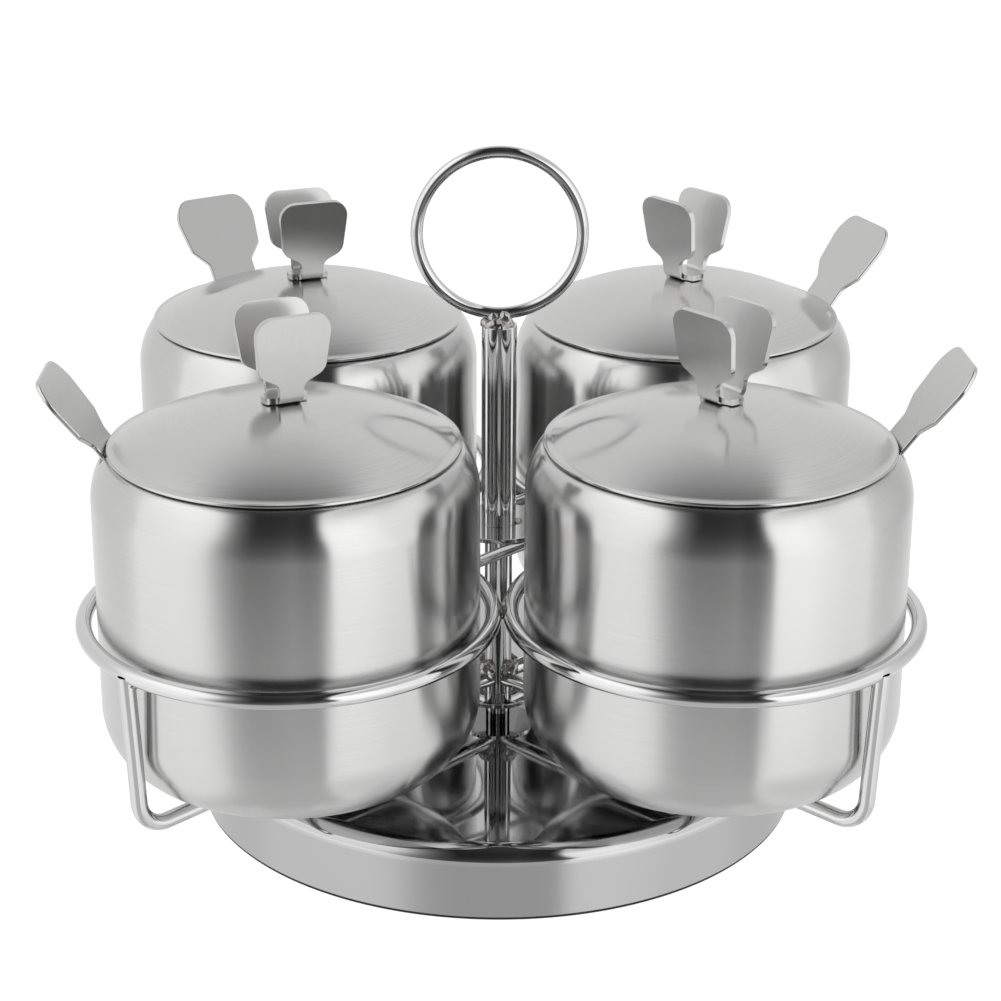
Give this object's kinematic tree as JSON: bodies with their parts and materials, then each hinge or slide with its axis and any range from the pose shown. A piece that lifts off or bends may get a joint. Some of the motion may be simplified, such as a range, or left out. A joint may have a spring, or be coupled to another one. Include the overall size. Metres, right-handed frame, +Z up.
{
  "type": "spice jar set",
  "caption": "Lidded round steel spice jars, each with its own spoon, held in a wire rack that turns on a round base and is carried by a ring.",
  "frame": {"origin": "On the turning axis, on the plane of the table under the foot ring", "axes": "+Z up along the turning axis, +X to the right and +Y to the back of the picture, with the jars on the diagonals"},
  "size_m": [0.2191, 0.2089, 0.1725],
  "materials": {
    "jar_steel": "brushed round the jar, satin",
    "lid_steel": "spun satin with a polished rim",
    "stamped_steel": "satin faces with polished edges",
    "base_steel": "satin wall with a mirror polished top",
    "chromed_wire": "mirror bright",
    "weld_metal": "lumpy bright weld beads",
    "turned_steel": "turned, dull",
    "foot_rubber": "matt black"
  },
  "bodies": {
    "base": {"base_shell": "base_steel", "foot_ring": "foot_rubber", "spindle": "turned_steel", "pivot_bush": "chromed_wire", "spindle_washer": "turned_steel", "spindle_nut": "turned_steel", "spindle_collar": "turned_steel"},
    "rack": {"lower_disc": "chromed_wire", "lower_tube": "chromed_wire", "middle_disc": "chromed_wire", "upper_tube": "chromed_wire", "handle_ring": "chromed_wire", "handle_weld": "weld_metal", "holder_ring_front_left": "chromed_wire", "holder_ring_front_right": "chromed_wire", "holder_ring_back_left": "chromed_wire", "holder_ring_back_right": "chromed_wire", "leg_wire_front_left": "chromed_wire", "leg_wire_front_right": "chromed_wire", "leg_wire_back_left": "chromed_wire", "leg_wire_back_right": "chromed_wire", "tie_wire_front": "chromed_wire", "tie_wire_back": "chromed_wire", "ring_welds": "weld_metal", "leg_welds": "weld_metal", "arm_welds": "weld_metal", "disc_tack": "weld_metal"},
    "jar_body_front_left": {"jar_front_left": "jar_steel"},
    "lid_body_front_left": {"lid_front_left": "lid_steel", "lid_skirt_front_left": "lid_steel", "lid_knob_front_left": "stamped_steel"},
    "spoon_body_front_left": {"spoon_front_left": "stamped_steel"},
    "jar_body_front_right": {"jar_front_right": "jar_steel"},
    "lid_body_front_right": {"lid_front_right": "lid_steel", "lid_skirt_front_right": "lid_steel", "lid_knob_front_right": "stamped_steel"},
    "spoon_body_front_right": {"spoon_front_right": "stamped_steel"},
    "jar_body_back_left": {"jar_back_left": "jar_steel"},
    "lid_body_back_left": {"lid_back_left": "lid_steel", "lid_skirt_back_left": "lid_steel", "lid_knob_back_left": "stamped_steel"},
    "spoon_body_back_left": {"spoon_back_left": "stamped_steel"},
    "jar_body_back_right": {"jar_back_right": "jar_steel"},
    "lid_body_back_right": {"lid_back_right": "lid_steel", "lid_skirt_back_right": "lid_steel", "lid_knob_back_right": "stamped_steel"},
    "spoon_body_back_right": {"spoon_back_right": "stamped_steel"}
  },
  "joints": [
    {"name": "rack_turn", "type": "hinge", "parent": "base", "child": "rack", "pos_m": [0, 0, 0.02], "axis": [0, 0, 1], "continuous": true},
    {"name": "jar_lift_front_left", "type": "slide", "parent": "rack", "child": "jar_body_front_left", "axis": [0, 0, 1], "range_m": [0, 0.09]},
    {"name": "lid_lift_front_left", "type": "slide", "parent": "jar_body_front_left", "child": "lid_body_front_left", "axis": [0, 0, 1], "range_m": [0, 0.08]},
    {"name": "spoon_draw_front_left", "type": "slide", "parent": "jar_body_front_left", "child": "spoon_body_front_left", "axis": [-0.6017, 0.0105, 0.7986], "range_m": [0, 0.07]},
    {"name": "jar_lift_front_right", "type": "slide", "parent": "rack", "child": "jar_body_front_right", "axis": [0, 0, 1], "range_m": [0, 0.09]},
    {"name": "lid_lift_front_right", "type": "slide", "parent": "jar_body_front_right", "child": "lid_body_front_right", "axis": [0, 0, 1], "range_m": [0, 0.08]},
    {"name": "spoon_draw_front_right", "type": "slide", "parent": "jar_body_front_right", "child": "spoon_body_front_right", "axis": [0.601, 0.0315, 0.7986], "range_m": [0, 0.07]},
    {"name": "jar_lift_back_left", "type": "slide", "parent": "rack", "child": "jar_body_back_left", "axis": [0, 0, 1], "range_m": [0, 0.09]},
    {"name": "lid_lift_back_left", "type": "slide", "parent": "jar_body_back_left", "child": "lid_body_back_left", "axis": [0, 0, 1], "range_m": [0, 0.08]},
    {"name": "spoon_draw_back_left", "type": "slide", "parent": "jar_body_back_left", "child": "spoon_body_back_left", "axis": [-0.3189, 0.5104, 0.7986], "range_m": [0, 0.07]},
    {"name": "jar_lift_back_right", "type": "slide", "parent": "rack", "child": "jar_body_back_right", "axis": [0, 0, 1], "range_m": [0, 0.09]},
    {"name": "lid_lift_back_right", "type": "slide", "parent": "jar_body_back_right", "child": "lid_body_back_right", "axis": [0, 0, 1], "range_m": [0, 0.08]},
    {"name": "spoon_draw_back_right", "type": "slide", "parent": "jar_body_back_right", "child": "spoon_body_back_right", "axis": [0.558, 0.2254, 0.7986], "range_m": [0, 0.07]}
  ]
}
